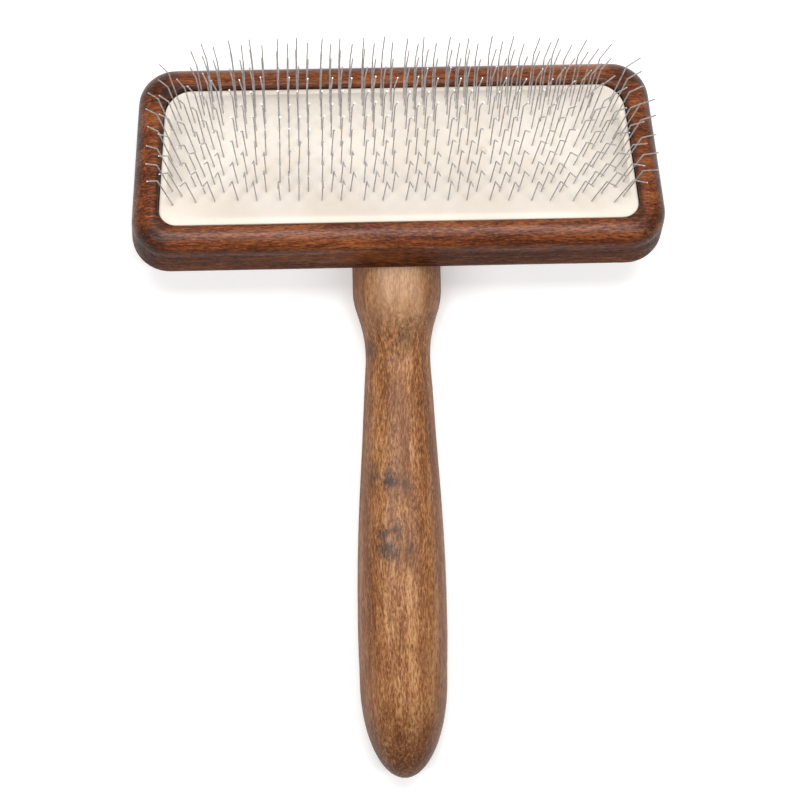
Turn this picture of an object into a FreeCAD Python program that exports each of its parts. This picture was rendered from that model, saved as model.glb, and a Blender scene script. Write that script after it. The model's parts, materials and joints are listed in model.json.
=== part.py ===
import FreeCAD, Part

import math
import os
import random

import Sketcher

# Slicker brush: a hollow wooden head with an air cushion full of bent wire pins, on a turned handle.
#
# Head frame used for every sketch and shape: origin at the centre of the opening, on the rim plane;
# +X to the right, +Y away from the handle, +Z out of the rim, towards the pins.
# The finished pieces are then set down on their backs by one placement, the rest pose.

# lengths nearer to each other than this are taken as equal
CLOSE = 0.001

ROW_COUNT = 15
STAPLES_IN_A_ROW = 11
SCATTER_SEED = 7
# extra lean of a wire per squared degree of the rubber's slope, which spreads the outer rows
FAN_GAIN = 0.0025

# fineness of the shapes that are worked out by number
PILLOW_COLUMNS = 32
PILLOW_ROWS = 14
SLOPE_STEP = 0.05
ARC_STEPS = 60
HALVINGS = 50
HANDLE_SAMPLES = 400
BUTT_SAMPLES = 100
VOLUME_TOLERANCE = 0.02

SIZES = (
    # head block
    ("head_width", 127.2),
    ("head_height", 47.4),
    ("head_thickness", 17.0),
    ("side_taper", 4.3),
    ("corner_round", 9.0),
    ("edge_round", 4.3),
    ("border", 6.1),
    ("near_corner", 4.5),
    ("far_corner", 7.0),
    ("rim_round", 0.9),
    ("ledge_width", 1.5),
    ("ledge_depth", 3.0),
    ("chamber_depth", 8.5),
    # handle, turned about its own axis; radii of the collar, the neck and the swell
    ("handle_tilt", 25.5),
    ("handle_length", 124.0),
    ("collar_radius", 10.6),
    ("neck_radius", 7.8),
    ("swell_radius", 10.8),
    ("butt_length", 24.0),
    ("butt_drop", 0.2),
    ("scarf_reach", 26.5),
    ("scarf_end", 1.5),
    ("scarf_angle", 40.0),
    ("housing_depth", 1.2),
    # wood screws from the chamber floor into the scarf
    ("screw_spacing", 10.0),
    ("screw_from_middle", 12.5),
    ("screw_head", 7.0),
    ("screw_head_height", 2.2),
    ("screw_shank", 3.5),
    ("screw_length", 16.0),
    ("screw_point", 3.5),
    ("screw_tip_radius", 0.2),
    ("screw_slot", 0.9),
    ("screw_gap", 0.15),
    # cushion
    ("skin_thickness", 2.0),
    ("dome_rise", 9.5),
    ("dome_end_power", 8.0),
    ("cloth_thickness", 0.5),
    ("cloth_margin", 0.6),
    ("cloth_gap", 0.05),
    ("skin_clearance", 0.25),
    ("skin_lap", 0.4),
    ("skin_trim", 0.1),
    ("vent_diameter", 1.0),
    ("vent_across", 19.7),
    ("vent_along", -3.6),
    # staples
    ("wire_diameter", 0.3),
    ("row_pitch", 2.14),
    ("staple_pitch", 9.85),
    ("staple_width", 5.42),
    ("row_offset", 1.1),
    ("pattern_turn", -0.8),
    ("lower_length", 11.0),
    ("tip_length", 8.0),
    ("pin_lean", 13.5),
    ("side_lean", 1.2),
    ("fan_share", 0.45),
    ("end_lean", 20.0),
    ("end_lean_power", 2.8),
    ("knee_turn", 33.0),
    ("bend_radius", 0.9),
    ("hand_scatter", 1.3),
    ("leg_margin", 0.7),
    # rest pose, worked out below
    ("rest_tilt", 0.0),
    ("rest_along", 0.0),
    ("rest_lift", 0.0),
)

doc = FreeCAD.newDocument("SlickerBrush")
sheet = doc.addObject("Spreadsheet::Sheet", "Sizes")
for line, (alias, value) in enumerate(SIZES, start=1):
    sheet.set(f"A{line}", alias)
    sheet.set(f"B{line}", str(value))
    sheet.setAlias(f"B{line}", alias)
doc.recompute()


def size(alias):
    return float(sheet.get(alias))


def sin(degrees):
    return math.sin(math.radians(degrees))


def cos(degrees):
    return math.cos(math.radians(degrees))


def tan(degrees):
    return math.tan(math.radians(degrees))


# ---------------------------------------------------------------- document helpers

def new_body(name):
    return doc.addObject("PartDesign::Body", name)


def sketch_on(body, role, name):
    plane = [feature for feature in body.Origin.OriginFeatures if feature.Role == role][0]
    sketch = body.newObject("Sketcher::SketchObject", name)
    sketch.AttachmentSupport = [(plane, "")]
    sketch.MapMode = "FlatFace"
    return sketch


def trapezoid(body, name, inset):
    """The head's outline moved inwards by the sheet expression `inset`."""
    from_near = f"({inset})"
    taper = "(Sizes.side_taper * 1 deg)"
    side_cut = f"{from_near} / cos({taper})"
    near_width = f"Sizes.head_width - 2 * ({from_near} * tan({taper}) + {side_cut})"
    far_width = f"{near_width} - 2 * (Sizes.head_height - 2 * {from_near}) * tan({taper})"
    half_height = f"Sizes.head_height / 2 - {from_near}"

    sketch = sketch_on(body, "XY_Plane", name)
    wide = size("head_width") / 2
    narrow = wide - size("head_height") * tan(size("side_taper"))
    high = size("head_height") / 2
    corners = [(-wide, -high), (wide, -high), (narrow, high), (-narrow, high)]
    points = [FreeCAD.Vector(x, y, 0) for x, y in corners]
    for i in range(4):
        sketch.addGeometry(Part.LineSegment(points[i], points[(i + 1) % 4]), False)
    for i in range(4):
        sketch.addConstraint(Sketcher.Constraint("Coincident", i, 2, (i + 1) % 4, 1))
    sketch.addConstraint(Sketcher.Constraint("Symmetric", 0, 1, 0, 2, -2))
    sketch.addConstraint(Sketcher.Constraint("Symmetric", 2, 1, 2, 2, -2))
    bound = (
        (("DistanceX", 0, 1, 0, 2, 2 * wide), near_width),
        (("DistanceX", 2, 2, 2, 1, 2 * narrow), far_width),
        (("DistanceY", 0, 1, -1, 1, high), half_height),
        (("DistanceY", -1, 1, 2, 1, high), half_height),
    )
    for constraint, expression in bound:
        number = sketch.addConstraint(Sketcher.Constraint(*constraint))
        sketch.setExpression(f"Constraints[{number}]", expression)
    doc.recompute()
    return sketch


def pad_down(body, sketch, length):
    pad = body.newObject("PartDesign::Pad", sketch.Name + "_pad")
    pad.Profile = sketch
    pad.Reversed = True
    pad.setExpression("Length", length)
    doc.recompute()
    return pad


def pocket(body, sketch, length):
    before = body.Shape.Volume
    cut = body.newObject("PartDesign::Pocket", sketch.Name + "_pocket")
    cut.Profile = sketch
    cut.setExpression("Length", length)
    doc.recompute()
    if body.Shape.Volume >= before:
        raise RuntimeError(f"{sketch.Name}: the pocket cut nothing")
    return cut


def fillet(body, radius, chosen):
    """Round the edges of the body's tip for which chosen(edge) is true."""
    tip = body.Tip
    names = [f"Edge{i}" for i, edge in enumerate(tip.Shape.Edges, start=1) if chosen(edge)]
    if not names:
        raise RuntimeError(f"{body.Name}: no edge to round")
    rounding = body.newObject("PartDesign::Fillet", body.Name + "_round")
    rounding.Base = (tip, names)
    rounding.setExpression("Radius", radius)
    doc.recompute()
    return rounding


def is_upright(edge):
    box = edge.BoundBox
    return box.XLength < CLOSE and box.YLength < CLOSE


def lies_at(edge, height):
    box = edge.BoundBox
    return abs(box.ZMin - height) < CLOSE and abs(box.ZMax - height) < CLOSE


def boolean(kind, name, shapes):
    """A Part::MultiFuse or Part::MultiCommon of the given objects."""
    result = doc.addObject(kind, name)
    result.Shapes = shapes
    doc.recompute()
    return result


def cut(name, base, tool):
    result = doc.addObject("Part::Cut", name)
    result.Base = base
    result.Tool = tool
    doc.recompute()
    return result


def half_width_at(y, inset):
    """Half the head's width at y, less an inset measured square to its tapered side."""
    taper = size("side_taper")
    return size("head_width") / 2 - (y + size("head_height") / 2) * tan(taper) - inset / cos(taper)


# ---------------------------------------------------------------- head block

def head_blank(name):
    body = new_body(name)
    pad_down(body, trapezoid(body, name + "_outline", "0"), "Sizes.head_thickness")
    fillet(body, "Sizes.corner_round", is_upright)
    back = -size("head_thickness")
    fillet(body, "Sizes.edge_round", lambda edge: lies_at(edge, 0) or lies_at(edge, back))
    return body


def cavity(body, name, inset, depth, near_round, far_round):
    """A pocket of the head's outline moved in by `inset`, with its upright corners rounded."""
    pocket(body, trapezoid(body, name, inset), f"Sizes.{depth}")
    floor = -size(depth)

    def corner(edge, side):
        at_floor = is_upright(edge) and abs(edge.BoundBox.ZMin - floor) < CLOSE
        return at_floor and edge.BoundBox.YMin * side > 0

    fillet(body, near_round, lambda edge: corner(edge, -1))
    fillet(body, far_round, lambda edge: corner(edge, 1))


def hollow_head():
    body = head_blank("hollow_head")
    cavity(body, "chamber", "Sizes.border + Sizes.ledge_width", "chamber_depth",
           "Sizes.near_corner - Sizes.ledge_width", "Sizes.far_corner - Sizes.ledge_width")
    cavity(body, "opening", "Sizes.border", "ledge_depth", "Sizes.near_corner", "Sizes.far_corner")
    opening_edge = size("head_height") / 2 - size("border") + CLOSE

    def rim(edge):
        box = edge.BoundBox
        in_height = box.YMin > -opening_edge and box.YMax < opening_edge
        inner_half_width = half_width_at(box.Center.y, size("border")) + size("ledge_width")
        return lies_at(edge, 0) and in_height and abs(box.Center.x) < inner_half_width

    fillet(body, "Sizes.rim_round", rim)
    return body


# ---------------------------------------------------------------- handle

def handle_direction():
    tilt = size("handle_tilt")
    return FreeCAD.Vector(0, -cos(tilt), -sin(tilt))


def handle_outward():
    """Square to the handle's axis, towards the side that carries on the face of the head."""
    tilt = size("handle_tilt")
    return FreeCAD.Vector(0, -sin(tilt), cos(tilt))


def back_edge_centre(side):
    """Centre of the rounding of the head's back edge, at the handle (-1) or at the far side (1)."""
    along = size("head_height") / 2 - size("edge_round")
    return FreeCAD.Vector(0, side * along, size("edge_round") - size("head_thickness"))


def handle_start():
    """The collar's front line meets the rounded edge where that edge faces along the handle."""
    touch = back_edge_centre(-1) + handle_direction() * size("edge_round")
    return touch - handle_outward() * size("collar_radius")


def on_handle(along, out):
    """A point in the plane of symmetry, by distance along the axis and distance from it."""
    return handle_start() + handle_direction() * along + handle_outward() * out


def handle_outline():
    """Turned profile between the straight collar and the round butt: along, radius."""
    collar = size("collar_radius")
    neck = size("neck_radius")
    swell = size("swell_radius")
    length = size("handle_length")
    knots = (
        (0.040, collar),
        (0.055, collar - 0.04),
        (0.070, collar - 0.22),
        (0.108, neck + 1.25),
        (0.162, neck),
        (0.225, neck + 0.28),
        (0.323, neck + 1.0),
        (0.440, swell - 1.05),
        (0.560, swell - 0.28),
        (0.690, swell),
        (0.750, swell - 0.06),
        (0.790, butt_radius() + 0.015),
    )
    profile = [(share * length, radius) for share, radius in knots]
    profile.append((length - size("butt_length"), butt_radius()))
    return profile


def butt_radius():
    return size("swell_radius") - size("butt_drop")


def flat(point):
    """Coordinates in a sketch on the plane of symmetry."""
    return FreeCAD.Vector(point.y, point.z, 0)


def handle_curve():
    points = [flat(on_handle(along, radius)) for along, radius in handle_outline()]
    curve = Part.BSplineCurve()
    curve.interpolate(Points=points)
    return curve


def butt_curve():
    """A quarter ellipse from the swell to the middle of the butt."""
    length = size("handle_length")
    centre = length - size("butt_length")
    ellipse = Part.Ellipse(flat(on_handle(length, 0)), flat(on_handle(centre, butt_radius())),
                           flat(on_handle(centre, 0)))
    return Part.ArcOfEllipse(ellipse, 0, math.pi / 2)


def turned_handle():
    body = new_body("turned_handle")
    sketch = sketch_on(body, "YZ_Plane", "handle_profile")
    collar = size("collar_radius")
    straight = handle_outline()[0][0]
    inner = -size("scarf_reach")
    corners = [flat(on_handle(along, out)) for along, out in
               ((size("handle_length"), 0), (inner, 0), (inner, collar), (straight, collar))]
    for first, second in zip(corners, corners[1:]):
        sketch.addGeometry(Part.LineSegment(first, second), False)
    sketch.addGeometry(handle_curve(), False)
    sketch.addGeometry(butt_curve(), False)
    sketch.addGeometry(Part.LineSegment(corners[0], corners[1]), True)
    turned = body.newObject("PartDesign::Revolution", "handle_turned")
    turned.Profile = sketch
    turned.ReferenceAxis = (sketch, ["Axis0"])
    turned.Angle = 360
    doc.recompute()
    return body


def slab_above(name, bottom):
    """A block that is larger than the head and reaches down to the sheet expression `bottom`."""
    block = doc.addObject("Part::Box", name)
    block.setExpression("Length", "2 * Sizes.head_width")
    block.setExpression("Width", "2 * Sizes.head_height")
    block.setExpression("Height", "2 * Sizes.head_thickness")
    block.setExpression("Placement.Base.x", "-Sizes.head_width")
    block.setExpression("Placement.Base.y", "-Sizes.head_height")
    block.setExpression("Placement.Base.z", bottom)
    return block


def scarf_wedge():
    """Everything behind the sloping end of the handle: a tilted block."""
    block = doc.addObject("Part::Box", "scarf_wedge")
    reach = 3 * size("head_height")
    block.Length = reach
    block.Width = reach
    block.Height = reach
    turn = size("scarf_angle") - 90
    rotation = FreeCAD.Rotation(FreeCAD.Vector(1, 0, 0), turn)
    up_the_slope = FreeCAD.Vector(0, cos(size("scarf_angle")), sin(size("scarf_angle")))
    start = FreeCAD.Vector(-reach / 2, size("scarf_end"), -size("head_thickness"))
    block.Placement = FreeCAD.Placement(start - up_the_slope * (reach / 2), rotation)
    return block


def scarfed_handle():
    """The turned handle, coped to the head's edge and sunk into a shallow housing in its back."""
    inside = boolean("Part::MultiCommon", "head_over_housing",
                     [head_blank("plain_head"),
                      slab_above("above_housing", "Sizes.housing_depth - Sizes.head_thickness")])
    coped = cut("coped_handle", turned_handle(), inside)
    return cut("scarfed_handle", coped, scarf_wedge())


# ---------------------------------------------------------------- screws

def screw_part(kind, name, side, top, sizes):
    """A cone or cylinder on the screw's axis; `top` is its depth below the chamber floor."""
    piece = doc.addObject(kind, name)
    for prop, expression in sizes.items():
        piece.setExpression(prop, expression)
    piece.setExpression("Placement.Base.x", f"{side} * Sizes.screw_spacing / 2")
    piece.setExpression("Placement.Base.y", "-Sizes.screw_from_middle")
    piece.setExpression("Placement.Base.z", f"-Sizes.chamber_depth - ({top}) - ({sizes['Height']})")
    return piece


def wood_screw(name, side, gap):
    """A countersunk wood screw; `gap` widens it into its own clearance hole."""
    straight = "Sizes.screw_length - Sizes.screw_head_height - Sizes.screw_point"
    shank = f"Sizes.screw_shank / 2 + {gap}"
    head = screw_part("Part::Cone", name + "_cone", side, "0", {
        "Radius1": shank,
        "Radius2": f"Sizes.screw_head / 2 + {gap}",
        "Height": "Sizes.screw_head_height"})
    middle = screw_part("Part::Cylinder", name + "_shank", side, "Sizes.screw_head_height", {
        "Radius": shank,
        "Height": straight})
    point = screw_part("Part::Cone", name + "_point", side, "Sizes.screw_length - Sizes.screw_point", {
        "Radius1": "Sizes.screw_tip_radius",
        "Radius2": shank,
        "Height": "Sizes.screw_point"})
    return boolean("Part::MultiFuse", name, [head, middle, point])


def slotted_screw(name, side):
    slot = doc.addObject("Part::Box", name + "_slot")
    slot.setExpression("Length", "2 * Sizes.screw_head")
    slot.setExpression("Width", "Sizes.screw_slot")
    slot.setExpression("Height", "2 * Sizes.screw_slot")
    slot.setExpression("Placement.Base.x", f"{side} * Sizes.screw_spacing / 2 - Sizes.screw_head")
    slot.setExpression("Placement.Base.y", "-Sizes.screw_from_middle - Sizes.screw_slot / 2")
    slot.setExpression("Placement.Base.z", "-Sizes.chamber_depth - Sizes.screw_slot")
    return cut(name, wood_screw(name + "_blank", side, "0"), slot)


def both_sides(name, make):
    return boolean("Part::MultiFuse", name, [make(-1), make(1)])


# ---------------------------------------------------------------- cushion

def chamber_inset():
    return size("border") + size("ledge_width")


def chamber_half_height():
    return size("head_height") / 2 - chamber_inset()


def skin_height(x, y):
    """Height of the rubber's outer face: a pillow, flat along its length and rounded off at its ends."""
    across = min(abs(x) / half_width_at(y, chamber_inset()), 1.0) ** size("dome_end_power")
    along = min(abs(y) / chamber_half_height(), 1.0) ** 2
    edge = size("skin_thickness") - size("ledge_depth")
    return edge + size("dome_rise") * (1 - across) * (1 - along)


def skin_slopes(x, y):
    """Slope angles of the outer face along x and y, in degrees, positive where it faces outwards."""
    step = SLOPE_STEP
    in_x = (skin_height(x - step, y) - skin_height(x + step, y)) / (2 * step)
    in_y = (skin_height(x, y - step) - skin_height(x, y + step)) / (2 * step)
    return math.degrees(math.atan(in_x)), math.degrees(math.atan(in_y))


def pillow_face(drop):
    """The outer face moved down by `drop`, as one smooth surface over the whole chamber."""
    grid = []
    for i in range(PILLOW_COLUMNS + 1):
        u = sin(90 * (2 * i / PILLOW_COLUMNS - 1))
        line = []
        for j in range(PILLOW_ROWS + 1):
            y = chamber_half_height() * (2 * j / PILLOW_ROWS - 1)
            x = u * half_width_at(y, chamber_inset())
            line.append(FreeCAD.Vector(x, y, skin_height(x, y) - drop))
        grid.append(line)
    surface = Part.BSplineSurface()
    surface.interpolate(grid)
    return surface.toShape()


def pillow_sheet(top_drop, bottom_drop):
    """A closed sheet between two copies of the outer face."""
    top = pillow_face(top_drop)
    bottom = pillow_face(bottom_drop)
    sides = [Part.makeRuledSurface(upper, lower) for upper, lower in zip(top.Edges, bottom.Edges)]
    shell = Part.makeShell([top, bottom] + sides)
    shell.sewShape()
    sheet_solid = Part.makeSolid(shell)
    if sheet_solid.Volume < 0:
        sheet_solid.reverse()
    return sheet_solid


def only_solid(shape):
    if len(shape.Solids) != 1:
        raise RuntimeError(f"{len(shape.Solids)} solids where one is expected")
    return shape.Solids[0]


def rounded_prism(inset, near_round, far_round, bottom, top):
    """The head's outline moved in, as a block between two heights with rounded corners."""
    high = size("head_height") / 2 - inset
    wide = half_width_at(-high, inset)
    narrow = half_width_at(high, inset)
    corners = [(-wide, -high), (wide, -high), (narrow, high), (-narrow, high), (-wide, -high)]
    outline = Part.makePolygon([FreeCAD.Vector(x, y, bottom) for x, y in corners])
    block = Part.Face(outline).extrude(FreeCAD.Vector(0, 0, top - bottom))
    for radius, side in ((near_round, -1), (far_round, 1)):
        edges = [edge for edge in block.Edges if is_upright(edge) and edge.BoundBox.YMin * side > 0]
        block = block.makeFillet(radius, edges)
    return block


def chamber_prism(inset, bottom, top):
    near_round = size("near_corner") + size("border") - inset
    far_round = size("far_corner") + size("border") - inset
    return rounded_prism(inset, near_round, far_round, bottom, top)


def cushion_skin():
    """Rubber sheet: a flat edge on the ledge and the pillow, with a vent hole."""
    low = -size("ledge_depth")
    high = low + size("skin_thickness")
    reach = size("dome_rise") + size("head_thickness")
    inner = chamber_inset()
    trimmed = chamber_prism(inner + size("skin_trim"), -reach, reach)
    pillow = pillow_sheet(0, size("skin_thickness")).common(trimmed)
    edge = chamber_prism(size("border") + size("skin_clearance"), low, high)
    flange = edge.cut(chamber_prism(inner + size("skin_lap"), low - 1, high + 1))
    across = size("vent_across")
    along = size("vent_along")
    vent = Part.makeCylinder(size("vent_diameter") / 2, 2 * reach, FreeCAD.Vector(across, along, -reach))
    return only_solid(flange.fuse(pillow).cut(vent))


def backing_cloth():
    top = size("skin_thickness") + size("cloth_gap")
    reach = size("dome_rise") + size("head_thickness")
    outline = chamber_prism(chamber_inset() + size("cloth_margin"), -reach, reach)
    return only_solid(pillow_sheet(top, top + size("cloth_thickness")).common(outline))


# ---------------------------------------------------------------- staples

def row_distance(number):
    """Distance along Y of a row; the rows are evenly spaced over the curve of the pillow."""
    arc = (number - (ROW_COUNT + 1) / 2) * size("row_pitch")
    y = 0.0
    for _ in range(ARC_STEPS):
        slope = skin_slopes(0, y)[1]
        y += arc / ARC_STEPS * cos(slope)
    return y


def leg_direction(x, y, turn, scatter):
    """Unit direction of a wire that leaves the skin at x, y; `turn` tips it back towards the handle."""
    slope_y = skin_slopes(x, y)[1]
    spread_y = size("fan_share") * slope_y + FAN_GAIN * slope_y ** 2
    share = abs(x) / half_width_at(0, chamber_inset())
    spread_x = math.copysign(size("end_lean") * share ** size("end_lean_power"), x)
    lean_x = size("side_lean") + spread_x + scatter[0]
    lean_y = size("pin_lean") + spread_y + scatter[1] - turn
    direction = FreeCAD.Vector(tan(lean_x), tan(lean_y), 1)
    return direction.normalize()


def leg_points(x, y, scatter):
    """Tip, knee and foot of one leg; the foot lies just under the backing cloth."""
    root = FreeCAD.Vector(x, y, skin_height(x, y))
    lower = leg_direction(x, y, 0, scatter)
    upper = leg_direction(x, y, size("knee_turn"), scatter)
    knee = root + lower * size("lower_length")
    tip = knee + upper * size("tip_length")
    below = size("skin_thickness") + size("cloth_gap") + size("cloth_thickness") + size("wire_diameter")
    shallow, deep = 0.0, 4 * below
    for _ in range(HALVINGS):
        middle = (shallow + deep) / 2
        point = root - lower * middle
        if skin_height(point.x, point.y) - point.z < below:
            shallow = middle
        else:
            deep = middle
    return tip, knee, root - lower * deep


def rounded_path(points, radius):
    """Straight runs through the points, joined by tangent arcs."""
    edges = []
    start = points[0]
    for before, corner, after in zip(points, points[1:], points[2:]):
        incoming = (corner - before).normalize()
        outgoing = (after - corner).normalize()
        half_turn = incoming.getAngle(outgoing) / 2
        cut_back = radius * math.tan(half_turn)
        arc_start = corner - incoming * cut_back
        arc_end = corner + outgoing * cut_back
        inward = (outgoing - incoming).normalize()
        arc_middle = corner + inward * (radius / math.cos(half_turn) - radius)
        edges.append(Part.LineSegment(start, arc_start).toShape())
        edges.append(Part.Arc(arc_start, arc_middle, arc_end).toShape())
        start = arc_end
    edges.append(Part.LineSegment(start, points[-1]).toShape())
    return Part.Wire(edges)


def wire_tube(points):
    path = rounded_path(points, size("bend_radius"))
    radius = size("wire_diameter") / 2
    section = Part.Wire([Part.Circle(points[0], points[1] - points[0], radius).toShape()])
    tube = path.makePipeShell([section], True, False)
    expected = math.pi * radius ** 2 * path.Length
    if not tube.isValid() or abs(tube.Volume - expected) > VOLUME_TOLERANCE * expected:
        raise RuntimeError("a staple's tube has the wrong volume")
    return tube


def fits_chamber(x, y):
    """True where a leg's crown stays clear of the chamber's walls and rounded corners."""
    margin = size("leg_margin")
    inset = chamber_inset() + margin
    high = size("head_height") / 2 - inset
    if abs(y) > high or abs(x) > half_width_at(y, inset):
        return False
    corner = size("near_corner") if y < 0 else size("far_corner")
    corner -= size("ledge_width") + margin
    beyond_x = abs(x) - (half_width_at(y, inset) - corner)
    beyond_y = abs(y) - (high - corner)
    return beyond_x < 0 or beyond_y < 0 or math.hypot(beyond_x, beyond_y) < corner


def staple_row(number, chance):
    """One row of staples: a group of separate bent wires."""
    y = row_distance(number)
    offset = size("row_offset") * (-1 if number % 2 else 1)
    turn = size("pattern_turn")
    limit = size("hand_scatter")
    staples = []
    for k in range(STAPLES_IN_A_ROW):
        middle = (k - (STAPLES_IN_A_ROW - 1) / 2) * size("staple_pitch") + offset
        ends = [middle - size("staple_width") / 2, middle + size("staple_width") / 2]
        roots = [(x * cos(turn) - y * sin(turn), x * sin(turn) + y * cos(turn)) for x in ends]
        scatters = [[chance.uniform(-limit, limit) for _ in range(2)] for _ in ends]
        if all(fits_chamber(*root) for root in roots):
            left = leg_points(*roots[0], scatters[0])
            right = leg_points(*roots[1], scatters[1])
            staples.append(wire_tube(list(left) + list(reversed(right))))
    return Part.makeCompound(staples)


# ---------------------------------------------------------------- rest pose

def lowest_point(points, tilt):
    return min(point.z * cos(tilt) - point.y * sin(tilt) for point in points)


def rest_tilt():
    """Tilt at which the head's far back edge and the handle's swell touch the table together."""
    edge_centre = back_edge_centre(1)
    edge_round = size("edge_round")
    samples = handle_curve().discretize(HANDLE_SAMPLES) + butt_curve().discretize(BUTT_SAMPLES)
    start = handle_start()
    underside = []
    for sample in samples:
        point = FreeCAD.Vector(0, sample.x, sample.y)
        out = (point - start).dot(handle_outward())
        underside.append(point - handle_outward() * (2 * out))
    low, high = 5.0, 40.0
    for _ in range(HALVINGS):
        tilt = (low + high) / 2
        if lowest_point([edge_centre], tilt) - edge_round < lowest_point(underside, tilt):
            high = tilt
        else:
            low = tilt
    return tilt, edge_round - lowest_point([edge_centre], tilt)


def set_down(feature, name):
    """The finished piece: `feature` moved from the head frame to the rest pose on the table."""
    piece = doc.addObject("Part::Compound", name)
    piece.Label = name
    piece.Links = [feature]
    backwards = FreeCAD.Rotation(FreeCAD.Vector(-1, 0, 0), 1)
    piece.Placement = FreeCAD.Placement(FreeCAD.Vector(0, 0, 0), backwards)
    piece.setExpression("Placement.Rotation.Angle", "Sizes.rest_tilt * 1 deg")
    piece.setExpression("Placement.Base.y", "Sizes.rest_along * 1 mm")
    piece.setExpression("Placement.Base.z", "Sizes.rest_lift * 1 mm")
    return piece


def write_size(alias, value):
    sheet.set(sheet.getCellFromAlias(alias), f"{value:.6f}")
    doc.recompute()


# ---------------------------------------------------------------- the brush

def as_feature(name, shape):
    feature = doc.addObject("Part::Feature", name)
    feature.Shape = shape
    return feature


def build():
    tilt, lift = rest_tilt()
    write_size("rest_tilt", tilt)
    write_size("rest_lift", lift)

    handle = scarfed_handle()
    screws = both_sides("screws", lambda side: slotted_screw(f"screw_{side + 2}", side))
    holes = both_sides("screw_holes", lambda side: wood_screw(f"hole_{side + 2}", side, "Sizes.screw_gap"))
    threads = both_sides("screw_threads", lambda side: wood_screw(f"thread_{side + 2}", side, "0"))
    housed_head = cut("housed_head", hollow_head(), handle)
    pieces = [
        set_down(cut("drilled_head", housed_head, holes), "head_block"),
        set_down(cut("drilled_handle", handle, threads), "handle"),
        set_down(screws, "head_screws"),
        set_down(as_feature("skin_shape", cushion_skin()), "cushion_skin"),
        set_down(as_feature("cloth_shape", backing_cloth()), "backing_cloth"),
    ]
    chance = random.Random(SCATTER_SEED)
    for number in range(1, ROW_COUNT + 1):
        row = as_feature(f"row_shape_{number:02d}", staple_row(number, chance))
        pieces.append(set_down(row, f"staple_row_{number:02d}"))
    doc.recompute()

    near = min(piece.Shape.optimalBoundingBox(False).YMin for piece in pieces[:2])
    far = max(piece.Shape.optimalBoundingBox(False).YMax for piece in pieces[-4:])
    write_size("rest_along", -(near + far) / 2)
    return pieces


def check(pieces):
    for item in doc.Objects:
        if "Invalid" in item.State or "Error" in item.State:
            raise RuntimeError(f"{item.Name} failed: {item.State}")
    for piece in pieces:
        if piece.Shape.isNull() or not piece.Shape.isValid() or not piece.Shape.Solids:
            raise RuntimeError(f"{piece.Label} has no valid solid")


def write(pieces):
    os.makedirs("parts", exist_ok=True)
    for piece in pieces:
        piece.Shape.exportStep(f"parts/{piece.Label}.step")
        box = piece.Shape.BoundBox
        print(f"{piece.Label:16s} {len(piece.Shape.Solids):3d} solids {piece.Shape.Volume:9.1f} mm3"
              f"  {box.XLength:6.1f} x {box.YLength:6.1f} x {box.ZLength:5.1f}")
    print(f"rest tilt {size('rest_tilt'):.2f},"
          f" moved {size('rest_along'):.2f} along, {size('rest_lift'):.2f} up")


brush = build()
check(brush)
write(brush)
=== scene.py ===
import json
import math
import random

import bpy
from mathutils import Matrix, Vector


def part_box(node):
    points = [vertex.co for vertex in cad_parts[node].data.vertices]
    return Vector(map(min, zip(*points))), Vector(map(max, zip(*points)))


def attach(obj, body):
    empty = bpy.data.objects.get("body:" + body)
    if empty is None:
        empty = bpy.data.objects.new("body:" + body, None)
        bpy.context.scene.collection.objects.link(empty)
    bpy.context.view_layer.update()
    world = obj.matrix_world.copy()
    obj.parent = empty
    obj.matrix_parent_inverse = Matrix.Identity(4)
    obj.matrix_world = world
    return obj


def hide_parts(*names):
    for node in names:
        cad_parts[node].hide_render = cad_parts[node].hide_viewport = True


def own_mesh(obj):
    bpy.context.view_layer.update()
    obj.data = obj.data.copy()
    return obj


# Slicker brush on its back: a stained wooden head with a crowned rubber cushion full of bent wire pins,
# and a turned handle. Its sizes are in millimetres, and MM turns them into the scene's metres; the floor,
# the lights and the camera are in metres.
# Head frame, as in the CAD: origin at the middle of the opening on the rim plane, +Z towards the pins.

MM = 0.001

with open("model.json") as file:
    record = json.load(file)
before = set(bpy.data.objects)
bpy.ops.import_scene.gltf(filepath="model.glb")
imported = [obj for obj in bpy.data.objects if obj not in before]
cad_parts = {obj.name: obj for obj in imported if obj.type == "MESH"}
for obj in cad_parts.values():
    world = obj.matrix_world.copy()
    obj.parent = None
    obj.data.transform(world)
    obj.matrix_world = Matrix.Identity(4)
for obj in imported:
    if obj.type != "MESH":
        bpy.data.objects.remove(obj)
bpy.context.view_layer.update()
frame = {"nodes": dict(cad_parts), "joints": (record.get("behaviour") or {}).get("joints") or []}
NODES = frame["nodes"]
JOINT = [joint for joint in frame["joints"] if joint["name"] == "cushion_press"][0]
ROWS = sorted(name for name in NODES if name.startswith("staple_row_"))

# ---------------------------------------------------------------- the head frame, read from the CAD

HEAD_HEIGHT = 47.4
BORDER = 6.1
LEDGE_WIDTH = 1.5
LEDGE_DEPTH = 3.0
SKIN_THICKNESS = 2.0
SKIN_CLEARANCE = 0.25
DOME_RISE = 9.5
DOME_END_POWER = 8.0
NEAR_CORNER = 4.5
FAR_CORNER = 7.0
SIDE_TAPER = math.radians(4.3)
HEAD_WIDTH = 127.2
REST_TILT = math.atan2(JOINT["axis"][1], JOINT["axis"][2])
INNER = BORDER + LEDGE_WIDTH                 # from the head's outline in to the chamber
SKIN_TOP = SKIN_THICKNESS - LEDGE_DEPTH      # height of the rubber's flat lip

TURN = Matrix.Rotation(-REST_TILT, 3, "X")


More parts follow.
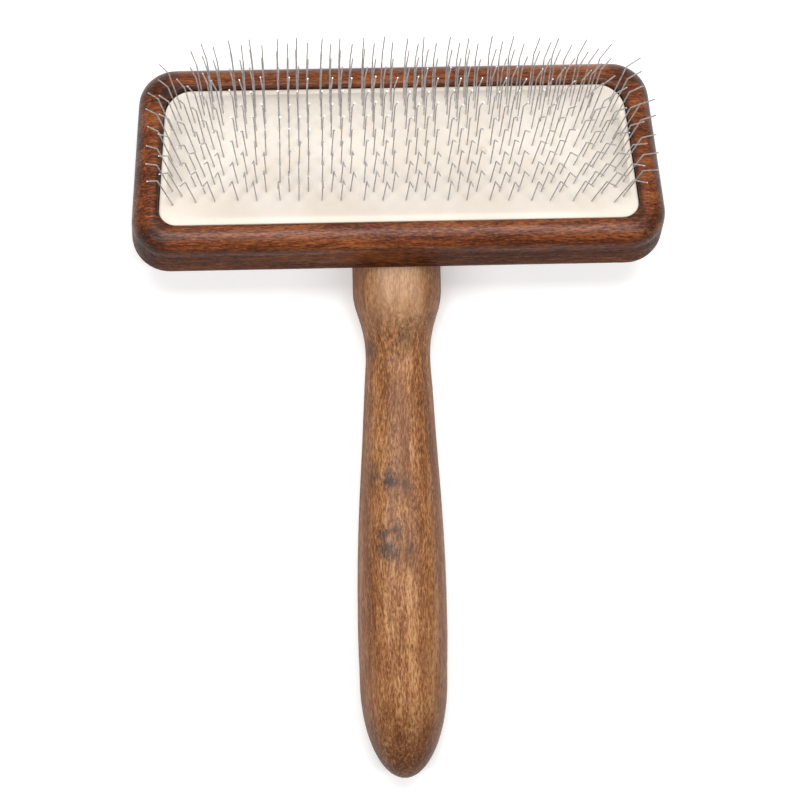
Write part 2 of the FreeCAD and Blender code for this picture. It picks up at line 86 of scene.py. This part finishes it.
def head_origin():
    """The head frame's origin: the skin is centred on it, and its underside is a ledge depth below."""
    points = [TURN.inverted() @ vertex.co for vertex in NODES["cushion_skin"].data.vertices]
    lowest = min(point.z for point in points)
    middle = (min(point.y for point in points) + max(point.y for point in points)) / 2
    return TURN @ Vector((0, middle, lowest + LEDGE_DEPTH * MM))


ORIGIN = head_origin()


def to_world(x, y, z):
    """A point of the head frame, in millimetres, as a point of the scene, in metres."""
    return ORIGIN + TURN @ Vector((x * MM, y * MM, z * MM))


def to_head(point):
    """A point of the scene, in metres, as a point of the head frame, in millimetres."""
    return (TURN.inverted() @ (point - ORIGIN)) / MM


def half_width(y, inset):
    """From the middle line to the head's tapered side at y, less an inset square to that side."""
    near = HEAD_WIDTH / 2 - (y + HEAD_HEIGHT / 2) * math.tan(SIDE_TAPER)
    return near - inset / math.cos(SIDE_TAPER)


# ---------------------------------------------------------------- node graphs

class Graph:
    """A small builder for a material's node tree. Values are sockets, numbers or tuples."""

    def __init__(self, name):
        self.material = bpy.data.materials.new(name)
        self.material.use_nodes = True
        self.tree = self.material.node_tree
        self.tree.nodes.clear()
        self.output = self.tree.nodes.new("ShaderNodeOutputMaterial")
        self.coordinates = self.node("ShaderNodeTexCoord").outputs["Object"]

    def node(self, kind, **settings):
        made = self.tree.nodes.new(kind)
        for key, value in settings.items():
            setattr(made, key, value)
        return made

    def put(self, socket, value):
        if isinstance(value, bpy.types.NodeSocket):
            self.tree.links.new(value, socket)
        else:
            socket.default_value = value

    def maths(self, operation, *values, clamp=False):
        made = self.node("ShaderNodeMath", operation=operation, use_clamp=clamp)
        for socket, value in zip(made.inputs, values):
            self.put(socket, value)
        return made.outputs[0]

    def vector(self, operation, *values):
        made = self.node("ShaderNodeVectorMath", operation=operation)
        for socket, value in zip(made.inputs, values):
            self.put(socket, value)
        return made.outputs["Value" if operation == "LENGTH" else "Vector"]

    def scaled(self, vector, scale):
        made = self.node("ShaderNodeVectorMath", operation="SCALE")
        self.put(made.inputs[0], vector)
        self.put(made.inputs["Scale"], scale)
        return made.outputs["Vector"]

    def rotated(self, vector, angle):
        """The vector turned about X."""
        made = self.node("ShaderNodeVectorRotate", rotation_type="X_AXIS")
        self.put(made.inputs["Vector"], vector)
        self.put(made.inputs["Angle"], angle)
        return made.outputs[0]

    def split(self, vector):
        made = self.node("ShaderNodeSeparateXYZ")
        self.put(made.inputs[0], vector)
        return made.outputs["X"], made.outputs["Y"], made.outputs["Z"]

    def join(self, x, y, z):
        made = self.node("ShaderNodeCombineXYZ")
        for socket, value in zip(made.inputs, (x, y, z)):
            self.put(socket, value)
        return made.outputs[0]

    def noise(self, vector, scale, detail=4.0, roughness=0.55, distortion=0.0):
        made = self.node("ShaderNodeTexNoise")
        self.put(made.inputs["Vector"], vector)
        self.put(made.inputs["Scale"], scale)
        self.put(made.inputs["Detail"], detail)
        self.put(made.inputs["Roughness"], roughness)
        self.put(made.inputs["Distortion"], distortion)
        return made.outputs["Fac"]

    def cells(self, vector, scale):
        """Distance to the nearest of the points strewn one to a cell."""
        made = self.node("ShaderNodeTexVoronoi")
        self.put(made.inputs["Vector"], vector)
        self.put(made.inputs["Scale"], scale)
        return made.outputs["Distance"]

    def step(self, value, low, high, to_low=0.0, to_high=1.0):
        """A smooth step: to_low below `low`, to_high above `high`."""
        made = self.node("ShaderNodeMapRange", interpolation_type="SMOOTHSTEP")
        for socket, number in zip(made.inputs, (value, low, high, to_low, to_high)):
            self.put(socket, number)
        return made.outputs["Result"]

    def mix(self, share, first, second):
        """The first colour where the share is 0, and the second where it is 1."""
        made = self.node("ShaderNodeMix", data_type="RGBA")
        self.put(made.inputs["Factor"], share)
        self.put(made.inputs[6], first)
        self.put(made.inputs[7], second)
        return made.outputs[2]

    def ramp(self, value, stops):
        made = self.node("ShaderNodeValToRGB")
        self.put(made.inputs[0], value)
        elements = made.color_ramp.elements
        while len(elements) < len(stops):
            elements.new(0.5)
        for element, (position, colour) in zip(elements, stops):
            element.position = position
            element.color = colour
        return made.outputs["Color"]

    def bump(self, height, strength, distance):
        made = self.node("ShaderNodeBump")
        self.put(made.inputs["Height"], height)
        self.put(made.inputs["Strength"], strength)
        self.put(made.inputs["Distance"], distance)
        return made.outputs["Normal"]

    def principled(self, **inputs):
        """Ends the graph in a Principled shader; an underscore in a keyword stands for a space."""
        made = self.node("ShaderNodeBsdfPrincipled")
        for key, value in inputs.items():
            self.put(made.inputs[key.replace("_", " ")], value)
        self.tree.links.new(made.outputs[0], self.output.inputs["Surface"])
        return self.material


def linear(red, green, blue):
    """A colour given as 0-255 display values, as the linear tuple that sockets take."""
    def channel(value):
        share = value / 255
        return share / 12.92 if share <= 0.04045 else ((share + 0.055) / 1.055) ** 2.4
    return (channel(red), channel(green), channel(blue), 1.0)


# ---------------------------------------------------------------- wood

# Dark, middle and light wood, and the pores.
HEAD_PALETTE = (linear(48, 16, 7), linear(102, 49, 23), linear(152, 90, 50), linear(34, 12, 6))
HANDLE_PALETTE = (linear(92, 50, 24), linear(146, 94, 54), linear(196, 150, 104), linear(74, 40, 22))
# Scorch colour of the head's corners and end edges, also used as painted shade on its lower walls, its back
# and the rim's inner edge.
SCORCHED_AND_SHADED = linear(36, 22, 17)
PALE_COLLAR = linear(186, 152, 120)
# Painted shade for the handle's flanks.
FLANK_PAINTED_SHADE = linear(96, 54, 28)
DARK_PATCH = linear(104, 60, 32)
DARK_BUTT = linear(78, 44, 26)
KNOT_STAIN = linear(46, 42, 44)
PORE_DEPTH = 0.12


def along_grain(graph, position, axis, length, width):
    """Coordinates in which noise of scale 1 has fibres `length` by `width` millimetres along an axis."""
    sizes = [width] * 3
    sizes["xyz".index(axis)] = length
    return graph.vector("MULTIPLY", position, tuple(1 / size for size in sizes))


def wood_layers(graph, position, axis, palette):
    """Colour and height of lacquered beech: broad bands, fibres, pores and rays."""
    dark, middle, light, pore = palette
    wander = graph.noise(along_grain(graph, position, axis, 60, 18), 1.0, 2.0)
    drift = graph.maths("MULTIPLY", wander, 3.0)
    moved = graph.vector("ADD", position, graph.join(drift, drift, drift))
    bands = graph.noise(along_grain(graph, moved, axis, 60, 4.2), 1.0, 3.0, 0.6, 0.3)
    streaks = graph.noise(along_grain(graph, moved, axis, 9, 0.8), 1.0, 4.0, 0.65, 0.3)
    fibres = graph.noise(along_grain(graph, moved, axis, 2.0, 0.34), 1.0, 3.0, 0.7, 0.3)
    flecks = graph.noise(along_grain(graph, moved, axis, 1.25, 0.33), 1.0, 2.0, 0.6)
    blend = graph.maths("MULTIPLY_ADD", bands, 0.36, graph.maths("MULTIPLY", streaks, 0.28))
    blend = graph.maths("MULTIPLY_ADD", fibres, 0.4, blend)
    tone = graph.step(blend, 0.36, 0.68)
    colour = graph.ramp(tone, ((0.0, dark), (0.48, middle), (1.0, light)))
    pores = graph.step(flecks, 0.53, 0.68)
    colour = graph.mix(graph.maths("MULTIPLY", pores, 0.7), colour, pore)
    glints = graph.step(flecks, 0.46, 0.32)
    colour = graph.mix(graph.maths("MULTIPLY", glints, 0.5), colour, light)
    height = graph.maths("MULTIPLY_ADD", fibres, 0.6, graph.maths("MULTIPLY", pores, -0.7))
    return colour, height, tone


def lacquered(graph, colour, height, tone, roughness, polish):
    """Satin lacquer over the wood; `polish` is 1 on the worn faces and less where the lacquer is dull."""
    normal = graph.bump(height, 0.4, PORE_DEPTH * MM)
    rough = graph.maths("MULTIPLY_ADD", tone, -0.1, roughness)
    return graph.principled(Base_Color=colour, Roughness=rough, Normal=normal,
                            Specular_IOR_Level=graph.maths("MULTIPLY", polish, 0.16),
                            Coat_Weight=graph.maths("MULTIPLY", polish, 0.12), Coat_Roughness=0.22)


def scorch_and_painted_shade(graph, position, tone):
    """How dark the head is made: scorching at its corners and along the outer edges of its ends, and painted
    shade down its outer walls, on its back and along the rim's inner edge.
    """
    x, y, z = graph.split(position)
    taper = math.tan(SIDE_TAPER)
    wide = HEAD_WIDTH / 2 - HEAD_HEIGHT / 2 * taper
    side = graph.maths("SUBTRACT", graph.maths("MULTIPLY_ADD", y, -taper, wide), graph.maths("ABSOLUTE", x))
    end = graph.maths("SUBTRACT", HEAD_HEIGHT / 2, graph.maths("ABSOLUTE", y))
    edge = graph.maths("SMOOTH_MIN", side, end, 3.0)
    blotch = graph.maths("SUBTRACT", graph.noise(graph.scaled(position, 1 / 9), 1.0, 4.0, 0.65), 0.5)

    def blotched(value, strength):
        return graph.maths("MULTIPLY_ADD", blotch, strength, value)

    corners = graph.maths("ADD", graph.step(side, 16.0, 1.0), graph.step(end, 12.0, 1.0))
    corners = graph.step(blotched(corners, 0.5), 1.1, 1.8)
    sides = graph.step(blotched(side, 3.0), 2.6, 0.2)
    # Painted shade: the outer edges darken, more so lower down the rounded walls, where they turn from the
    # light.
    low_down = graph.step(z, -1.0, -4.0, 0.2, 0.55)
    outside = graph.maths("MULTIPLY", graph.step(blotched(edge, 4.0), 1.6, 0.0), low_down)
    # Painted shade on the head's back, the side nearest the floor.
    back = graph.step(blotched(z, 5.0), -9.0, -13.5)
    # Painted shade along the rim's inner edge, where the recess wall lies in shadow; stronger towards the
    # ends.
    near_ends = graph.step(side, BORDER + 9.0, BORDER - 1.0, 0.45, 1.0)
    inside = graph.maths("MULTIPLY", graph.step(edge, BORDER - 1.5, BORDER - 0.1), near_ends)
    scorch_and_shade = outside
    for area, strength in ((sides, 0.85), (corners, 0.85), (inside, 0.92), (back, 0.5)):
        scorch_and_shade = graph.maths("MAXIMUM", scorch_and_shade, graph.maths("MULTIPLY", area, strength))
    return graph.maths("MULTIPLY", scorch_and_shade, graph.step(tone, 1.5, 0.1), clamp=True)


def head_wood():
    graph = Graph("head_wood")
    moved = graph.vector("SUBTRACT", graph.coordinates, tuple(ORIGIN))
    position = graph.scaled(graph.rotated(moved, REST_TILT), 1 / MM)
    colour, height, tone = wood_layers(graph, position, "x", HEAD_PALETTE)
    # Scorch at the corners and end edges, and painted shade on the lower walls, the back and the rim's inner
    # edge.
    colour = graph.mix(scorch_and_painted_shade(graph, position, tone), colour, SCORCHED_AND_SHADED)
    height_up = graph.split(position)[2]
    return lacquered(graph, colour, height, tone, 0.42, graph.step(height_up, -6.0, -1.0, 0.08, 1.0))


# Marks on the handle (mm): distance from the butt, across from the axis, half length, half width, and depth.
KNOTS = (
    (73.2, -2.8, 3.2, 2.6, 0.80),
    (72.0, 0.8, 2.4, 2.6, 0.50),
    (74.0, -6.6, 3.6, 1.6, 0.62),
    (59.8, -4.6, 3.0, 1.6, 0.85),
    (61.6, -1.4, 2.2, 1.6, 0.72),
    (56.6, -3.8, 3.4, 3.2, 0.80),
    (56.8, 1.2, 3.2, 1.8, 0.50),
    (107.5, 1.6, 5.0, 3.2, 0.50),
    (103.8, -6.6, 2.6, 1.8, 0.60),
    (109.5, -4.8, 5.0, 2.6, 0.28),
)
GRAIN_BENDING_KNOTS = KNOTS[:6]


def closed_in(graph, x, y, upper):
    """The x coordinate, pulled towards the knots so that the grain closes in on them."""
    bent = x
    for along, across, length, _, depth in GRAIN_BENDING_KNOTS:
        dy = graph.maths("DIVIDE", graph.maths("SUBTRACT", y, along), length * 1.6)
        fade = graph.maths("POWER", math.e, graph.maths("MULTIPLY", graph.maths("MULTIPLY", dy, dy), -1.0))
        dx = graph.maths("SUBTRACT", x, across)
        spread = graph.maths("DIVIDE", dx, graph.maths("MULTIPLY_ADD", graph.maths("ABSOLUTE", dx), 0.5, 1.0))
        pull = graph.maths("MULTIPLY", graph.maths("MULTIPLY", fade, spread), -0.3 * depth)
        bent = graph.maths("MULTIPLY_ADD", pull, upper, bent)
    return bent


def shaded_handle(graph, colour, position):
    """A pale collar, flanks darkened as painted shade where the round handle turns from the light, dark
    patches and a dark speckled butt.
    """
    x, y, z = graph.split(position)
    ragged = graph.noise(graph.vector("MULTIPLY", position, (1.3, 0.7, 1.3)), 1.0, 4.0, 0.75)
    uneven = graph.maths("SUBTRACT", ragged, 0.5)
    off_axis = graph.maths("ABSOLUTE", x)

    rough_edge = graph.maths("MULTIPLY_ADD", uneven, 26.0, y)
    pale = graph.maths("MULTIPLY", graph.step(rough_edge, 106.0, 116.0), graph.step(z, 3.0, 8.0))
    pale = graph.maths("MULTIPLY", pale, graph.step(off_axis, 8.6, 4.0))
    colour = graph.mix(graph.maths("MULTIPLY", pale, 0.45), colour, PALE_COLLAR)

    # Painted shade: the flanks darken away from the axis, where the round handle turns from the light.
    flank = graph.maths("MULTIPLY_ADD", uneven, 3.0, off_axis)
    colour = graph.mix(graph.step(flank, 4.6, 9.4, 0.0, 0.5), colour, FLANK_PAINTED_SHADE)
    patch = graph.noise(graph.vector("MULTIPLY", position, (1 / 6, 1 / 24, 1 / 6)), 1.0, 2.0, 0.5)
    colour = graph.mix(graph.step(patch, 0.5, 0.7, 0.0, 0.45), colour, DARK_PATCH)

    butt = graph.step(y, 26.0, 3.0)
    speckle = graph.noise(graph.vector("MULTIPLY", position, (1.6, 0.9, 1.6)), 1.0, 3.0, 0.7)
    dark_butt = graph.maths("MULTIPLY", butt, graph.step(speckle, 0.3, 0.62, 0.35, 0.95))
    return graph.mix(dark_butt, colour, DARK_BUTT)


def knot_stain(graph, position):
    """How dark the knots and stains make the wood."""
    x, y, _ = graph.split(position)
    threads = graph.noise(graph.vector("MULTIPLY", position, (1.5, 0.6, 1.5)), 1.0, 4.0, 0.8)
    stain = 0.0
    for along, across, half_length, width, depth in KNOTS:
        dx = graph.maths("DIVIDE", graph.maths("SUBTRACT", x, across), width)
        dy = graph.maths("DIVIDE", graph.maths("SUBTRACT", y, along), half_length)
        distance = graph.vector("LENGTH", graph.join(dx, dy, 0.0))
        distance = graph.maths("MULTIPLY_ADD", graph.maths("SUBTRACT", threads, 0.5), 3.6, distance)
        spot = graph.maths("MULTIPLY", graph.step(distance, 1.3, 0.0), depth)
        stain = graph.maths("MAXIMUM", stain, spot)
    return stain


def handle_wood():
    """Golden beech; the positions along it are distances from the butt."""
    graph = Graph("handle_wood")
    low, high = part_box("handle")
    butt_end = (0, low[1], (low[2] + high[2]) / 2)
    position = graph.scaled(graph.vector("SUBTRACT", graph.coordinates, butt_end), 1 / MM)
    x, y, z = graph.split(position)
    upper = graph.step(z, -4.0, 2.0)
    grain_position = graph.join(closed_in(graph, x, y, upper), y, z)
    colour, height, tone = wood_layers(graph, grain_position, "y", HANDLE_PALETTE)
    colour = shaded_handle(graph, colour, position)
    stain = graph.maths("MULTIPLY", knot_stain(graph, position), upper)
    colour = graph.mix(stain, colour, KNOT_STAIN)
    return lacquered(graph, colour, height, tone, 0.44, graph.step(z, 0.0, 7.0, 0.1, 1.0))


# ---------------------------------------------------------------- metal, rubber and cloth

def pin_wire():
    graph = Graph("pin_wire")
    fine = graph.noise(graph.vector("MULTIPLY", graph.coordinates, (1400, 1400, 260)), 1.0, 3.0)
    colour = graph.ramp(fine, ((0.3, linear(164, 164, 166)), (0.7, linear(214, 214, 216))))
    rough = graph.step(fine, 0.3, 0.7, 0.36, 0.5)
    return graph.principled(Base_Color=colour, Metallic=1.0, Roughness=rough,
                            Normal=graph.bump(fine, 0.15, 0.02 * MM))


def screw_steel():
    graph = Graph("screw_steel")
    fine = graph.noise(graph.vector("MULTIPLY", graph.coordinates, (900, 900, 900)), 1.0, 4.0)
    colour = graph.ramp(fine, ((0.3, linear(150, 146, 132)), (0.7, linear(205, 200, 184))))
    return graph.principled(Base_Color=colour, Metallic=1.0, Roughness=graph.step(fine, 0.3, 0.7, 0.25, 0.45),
                            Normal=graph.bump(fine, 0.2, 0.03 * MM))


THREAD_PITCH = 0.5


def cushion_cloth():
    graph = Graph("cushion_cloth")
    x, y, _ = graph.split(graph.coordinates)
    thread = 2 * math.pi / (THREAD_PITCH * MM)
    weave = graph.maths("MULTIPLY", graph.maths("SINE", graph.maths("MULTIPLY", x, thread)),
                        graph.maths("SINE", graph.maths("MULTIPLY", y, thread)))
    fuzz = graph.noise(graph.vector("MULTIPLY", graph.coordinates, (3000, 3000, 3000)), 1.0, 3.0)
    shade = graph.maths("MULTIPLY_ADD", weave, 0.3, fuzz)
    colour = graph.ramp(shade, ((0.2, linear(186, 172, 142)), (0.8, linear(226, 214, 188))))
    return graph.principled(Base_Color=colour, Roughness=0.9, Normal=graph.bump(shade, 0.6, 0.08 * MM),
                            Sheen_Weight=0.2)


def cushion_rubber():
    graph = Graph("cushion_rubber")
    position = graph.scaled(graph.coordinates, 1 / MM)
    grain = graph.noise(position, 5.5, 4.0, 0.65)
    broad = graph.noise(position, 0.07, 3.0, 0.5)
    specks = graph.step(graph.cells(position, 0.55), 0.13, 0.05)
    colour = graph.mix(graph.step(broad, 0.35, 0.7), linear(226, 217, 206), linear(219, 209, 196))
    colour = graph.mix(graph.step(grain, 0.45, 0.75, 0.0, 0.25), colour, linear(208, 197, 182))
    colour = graph.mix(graph.maths("MULTIPLY", specks, 0.22), colour, linear(190, 170, 144))
    normal = graph.bump(grain, 0.25, 0.05 * MM)
    return graph.principled(Base_Color=colour, Roughness=graph.step(grain, 0.3, 0.7, 0.58, 0.74),
                            Normal=normal, Specular_IOR_Level=0.35, Subsurface_Weight=0.08,
                            Subsurface_Radius=(0.0012, 0.0009, 0.0006))


# ---------------------------------------------------------------- cushion

SKIN_COLUMNS = 420
SKIN_LINES = 130
EDGE_CROWDING = 0.65       # 0 spaces the columns and lines evenly, and 1 crowds them most at the edges
UNDERSIDE_LIFT = 0.04      # keeps the underside off the ledge and the cloth
FOOT = 0.5                 # the rise over which the crown eases out of the flat lip
LIP_DROP = 0.35            # how far the lip's outer edge is let down
LIP_ROUNDING = 0.3
LEG_GAP = 0.6              # crossings further apart than this are different legs

# The rubber clings to each wire in a small collar, inside a wider dimple: height or depth, and radius.
COLLAR = (0.16, 0.35)
DIMPLE = (0.22, 0.95)
ROOT_CELL = 3.0            # side of the squares that the wires are sorted into

VENT_X, VENT_Y = 19.7, -3.6
VENT_RADIUS = 0.5
VENT_LIP = (0.12, 0.35)    # height and width of the raised ring round the hole
VENT_DEPTH = 2.2           # through the rubber
VENT_WALL = 0.12           # how far the hole's wall slopes

# Slight swells and hollows, so that the rubber isn't a perfect pillow.
SWELL_SEED = 3
SWELL_COUNT = 26
SWELL_REACH = (50, 14)
SWELL_SPREADS = (5, 11)
SWELL_HEIGHTS = (-0.12, 0.14)


def skin_height(x, y):
    """Height of the rubber's outer face over the chamber."""
    across = min(abs(x) / half_width(y, INNER), 1.0) ** DOME_END_POWER
    along = min(abs(y) / (HEAD_HEIGHT / 2 - INNER), 1.0) ** 2
    return SKIN_TOP + DOME_RISE * (1 - across) * (1 - along)


def over_chamber(x, y):
    return abs(y) < HEAD_HEIGHT / 2 - INNER and abs(x) < half_width(y, INNER)


def leg_crossings(mesh):
    """Where the mesh's edges pass through the rubber's outer face, in the head frame, in order of x."""
    points = [to_head(vertex.co) for vertex in mesh.vertices]
    above = [point.z - skin_height(point.x, point.y) for point in points]
    crossings = []
    for edge in mesh.edges:
        first, second = edge.vertices
        if above[first] * above[second] < 0:
            share = above[first] / (above[first] - above[second])
            crossings.append(points[first].lerp(points[second], share))
    return sorted(crossings, key=lambda point: point.x)


def leg_roots():
    """Where each wire leaves the rubber, in the head frame, read from the staples' own meshes."""
    found = []
    for name in ROWS:
        group = []
        for point in leg_crossings(NODES[name].data):
            if group and point.x - group[-1].x > LEG_GAP:
                found.append(sum(group, Vector()) / len(group))
                group = []
            group.append(point)
        found.append(sum(group, Vector()) / len(group))
    return found


def root_cell(x, y):
    return round(x / ROOT_CELL), round(y / ROOT_CELL)


def roots_by_cell():
    cells = {}
    for root in leg_roots():
        cells.setdefault(root_cell(root.x, root.y), []).append(root)
    return cells


def random_swells():
    """Place, spread and height of each swell."""
    chance = random.Random(SWELL_SEED)
    across, along = SWELL_REACH
    return [(chance.uniform(-across, across), chance.uniform(-along, along), chance.uniform(*SWELL_SPREADS),
             chance.uniform(*SWELL_HEIGHTS)) for _ in range(SWELL_COUNT)]


def outline_share(x, y, inset):
    """Moves a point of the square from -1 to 1 into the rounded outline of the opening, less an inset."""
    corner = (NEAR_CORNER if y < 0 else FAR_CORNER) + BORDER - inset
    high = HEAD_HEIGHT / 2 - inset
    py = y * high
    wide = half_width(py, inset)
    beyond = abs(py) - (high - corner)
    if beyond > 0:
        wide -= corner - math.sqrt(max(corner ** 2 - beyond ** 2, 0.0))
    return x * wide, py


def crowned_height(x, y):
    """The outer face's crown, which eases out of the lip instead of meeting it at an angle."""
    rise = skin_height(x, y) - SKIN_TOP
    return SKIN_TOP + rise * rise * (1 + FOOT / DOME_RISE) / (rise + FOOT)


def swelling(x, y, swells):
    return sum(swell * math.exp(-((x - sx) ** 2 + (y - sy) ** 2) / spread ** 2)
               for sx, sy, spread, swell in swells)


def dimpling(x, y, cells):
    """The collars and dimples of the wires near a point."""
    rise = 0.0
    across, along = root_cell(x, y)
    for i in (across - 1, across, across + 1):
        for j in (along - 1, along, along + 1):
            for root in cells.get((i, j), ()):
                near = (x - root.x) ** 2 + (y - root.y) ** 2
                rise += COLLAR[0] * math.exp(-near / COLLAR[1] ** 2)
                rise -= DIMPLE[0] * math.exp(-near / DIMPLE[1] ** 2)
    return rise


def venting(x, y):
    """The raised ring and the hole of the vent."""
    outside = math.hypot(x - VENT_X, y - VENT_Y) - VENT_RADIUS
    ring = VENT_LIP[0] * math.exp(-(outside / VENT_LIP[1]) ** 2)
    return ring - VENT_DEPTH / 2 * (1 - math.tanh(outside / VENT_WALL))


def lip_drop(x, y):
    """How far the face is let down beside the rubber's outer edge."""
    side = half_width(y, BORDER) - abs(x)
    end = HEAD_HEIGHT / 2 - BORDER - abs(y)
    return LIP_DROP * math.exp(-max(min(side, end) - SKIN_CLEARANCE, 0) / LIP_ROUNDING)


def spaced(step, steps):
    """A step's place from -1 to 1, with the steps closer together at both ends."""
    share = 2 * step / steps - 1
    return (1 - EDGE_CROWDING) * share + EDGE_CROWDING * math.sin(share * math.pi / 2)


def skin_points():
    """The outer face's points, line by line from the near side, and then the underside's."""
    cells = roots_by_cell()
    swells = random_swells()
    outer, under = [], []
    for line in range(SKIN_LINES + 1):
        for column in range(SKIN_COLUMNS + 1):
            place = spaced(column, SKIN_COLUMNS), spaced(line, SKIN_LINES)
            x, y = outline_share(*place, BORDER + SKIN_CLEARANCE)
            top = bottom = SKIN_TOP
            if over_chamber(x, y):
                top = crowned_height(x, y) + swelling(x, y, swells) + dimpling(x, y, cells) + venting(x, y)
                bottom = skin_height(x, y)
            outer.append(to_world(x, y, top - lip_drop(x, y)))
            under.append(to_world(x, y, bottom - SKIN_THICKNESS + UNDERSIDE_LIFT))
    return outer + under


def skin_faces():
    """The quads of the outer face and the underside, and of the four edges that join them."""
    wide = SKIN_COLUMNS + 1
    under = wide * (SKIN_LINES + 1)
    faces = []
    for line in range(SKIN_LINES):
        for column in range(SKIN_COLUMNS):
            a = line * wide + column
            faces.append((a, a + 1, a + wide + 1, a + wide))
            faces.append((under + a, under + a + wide, under + a + wide + 1, under + a + 1))
    for near in range(SKIN_COLUMNS):
        far = SKIN_LINES * wide + near
        faces.append((near, under + near, under + near + 1, near + 1))
        faces.append((far, far + 1, under + far + 1, under + far))
    for line in range(SKIN_LINES):
        left = line * wide
        right = left + SKIN_COLUMNS
        faces.append((left, left + wide, under + left + wide, under + left))
        faces.append((right, under + right, under + right + wide, right + wide))
    return faces


def skin_mesh():
    """The rubber sheet: flat lip on the ledge, crowned face with a dimple at each wire, and an underside."""
    mesh = bpy.data.meshes.new("rubber_cushion")
    mesh.from_pydata(skin_points(), [], skin_faces())
    mesh.polygons.foreach_set("use_smooth", [True] * len(mesh.polygons))
    mesh.update()
    return mesh


def rubber_cushion(material):
    """The rubber sheet as a piece on the head, in place of the CAD's skin: its edge rests on the ledge."""
    piece = bpy.data.objects.new("rubber_cushion", skin_mesh())
    bpy.context.scene.collection.objects.link(piece)
    piece.data.materials.append(material)
    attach(piece, "head")
    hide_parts("cushion_skin")
    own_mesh(piece)


# ---------------------------------------------------------------- CAD nodes

def dress(name, material):
    mesh = NODES[name].data
    mesh.materials.clear()
    mesh.materials.append(material)


dress("head_block", head_wood())
dress("handle", handle_wood())
dress("head_screws", screw_steel())
dress("backing_cloth", cushion_cloth())
wire = pin_wire()
for row in ROWS:
    dress(row, wire)
rubber_cushion(cushion_rubber())

# ---------------------------------------------------------------- floor, lights and camera

FLOOR_REACH = 3.0
FLOOR_GLOW = 0.22
WORLD_STRENGTH = 0.19
LIT_POINT = (0, 0.02, 0.02)
# Name, place, width, height and power (W) of each softbox.
SOFTBOXES = (
    ("softbox_top", (0.0, 0.55, 1.15), 0.7, 0.5, 12.0),
    ("softbox_left", (-0.42, -0.02, 1.0), 0.16, 0.9, 4.6),
    ("softbox_right", (0.46, -0.02, 1.0), 0.12, 0.9, 3.2),
)


def floor():
    mesh = bpy.data.meshes.new("floor")
    reach = FLOOR_REACH
    corners = [(-reach, -reach, 0), (reach, -reach, 0), (reach, reach, 0), (-reach, reach, 0)]
    mesh.from_pydata(corners, [], [(0, 1, 2, 3)])
    piece = bpy.data.objects.new("floor", mesh)
    bpy.context.scene.collection.objects.link(piece)
    graph = Graph("floor_white")
    mottle = graph.noise(graph.coordinates, 3.0, 2.0)
    shade = graph.mix(mottle, (0.93, 0.93, 0.93, 1.0), (0.95, 0.95, 0.95, 1.0))
    mesh.materials.append(graph.principled(Base_Color=shade, Roughness=0.9, Emission_Color=(1, 1, 1, 1),
                                           Emission_Strength=FLOOR_GLOW))


def area_light(name, place, width, height, power):
    data = bpy.data.lights.new(name, "AREA")
    data.shape = "RECTANGLE"
    data.size = width
    data.size_y = height
    data.energy = power
    lamp = bpy.data.objects.new(name, data)
    lamp.location = place
    lamp.rotation_euler = (Vector(LIT_POINT) - Vector(place)).to_track_quat("-Z", "Y").to_euler()
    bpy.context.scene.collection.objects.link(lamp)


def studio():
    world = bpy.data.worlds.new("studio")
    world.use_nodes = True
    background = world.node_tree.nodes["Background"]
    background.inputs["Color"].default_value = (1, 1, 1, 1)
    background.inputs["Strength"].default_value = WORLD_STRENGTH
    bpy.context.scene.world = world
    bpy.context.scene.view_settings.view_transform = "Standard"
    for softbox in SOFTBOXES:
        area_light(*softbox)


def camera():
    """Far above the brush and almost straight down, a little from the left and from beyond the head."""
    distance = 1.0
    sideways = math.radians(-3.1)
    beyond = math.radians(4.5)
    roll = math.radians(0.98)
    pixels_per_metre = 4118.1
    image_width = 800
    sensor_width = 36.0
    centre = (0.87 * MM, 1.48 * MM)
    back = Vector((math.sin(sideways), math.sin(beyond) * math.cos(sideways),
                   math.cos(beyond) * math.cos(sideways))).normalized()
    right = Vector((0, 1, 0)).cross(back).normalized()
    up = back.cross(right)
    cosine, sine = math.cos(roll), math.sin(roll)
    side = right * cosine - up * sine
    top = right * sine + up * cosine
    data = bpy.data.cameras.new("camera")
    data.sensor_width = sensor_width
    data.lens = sensor_width * pixels_per_metre * distance / image_width
    data.clip_end = 20.0
    eye = bpy.data.objects.new("camera", data)
    turn = Matrix((side, top, back)).transposed()
    place = side * centre[0] + top * centre[1] + back * distance
    eye.matrix_world = Matrix.Translation(place) @ turn.to_4x4()
    bpy.context.scene.collection.objects.link(eye)
    bpy.context.scene.camera = eye


floor()
studio()
camera()
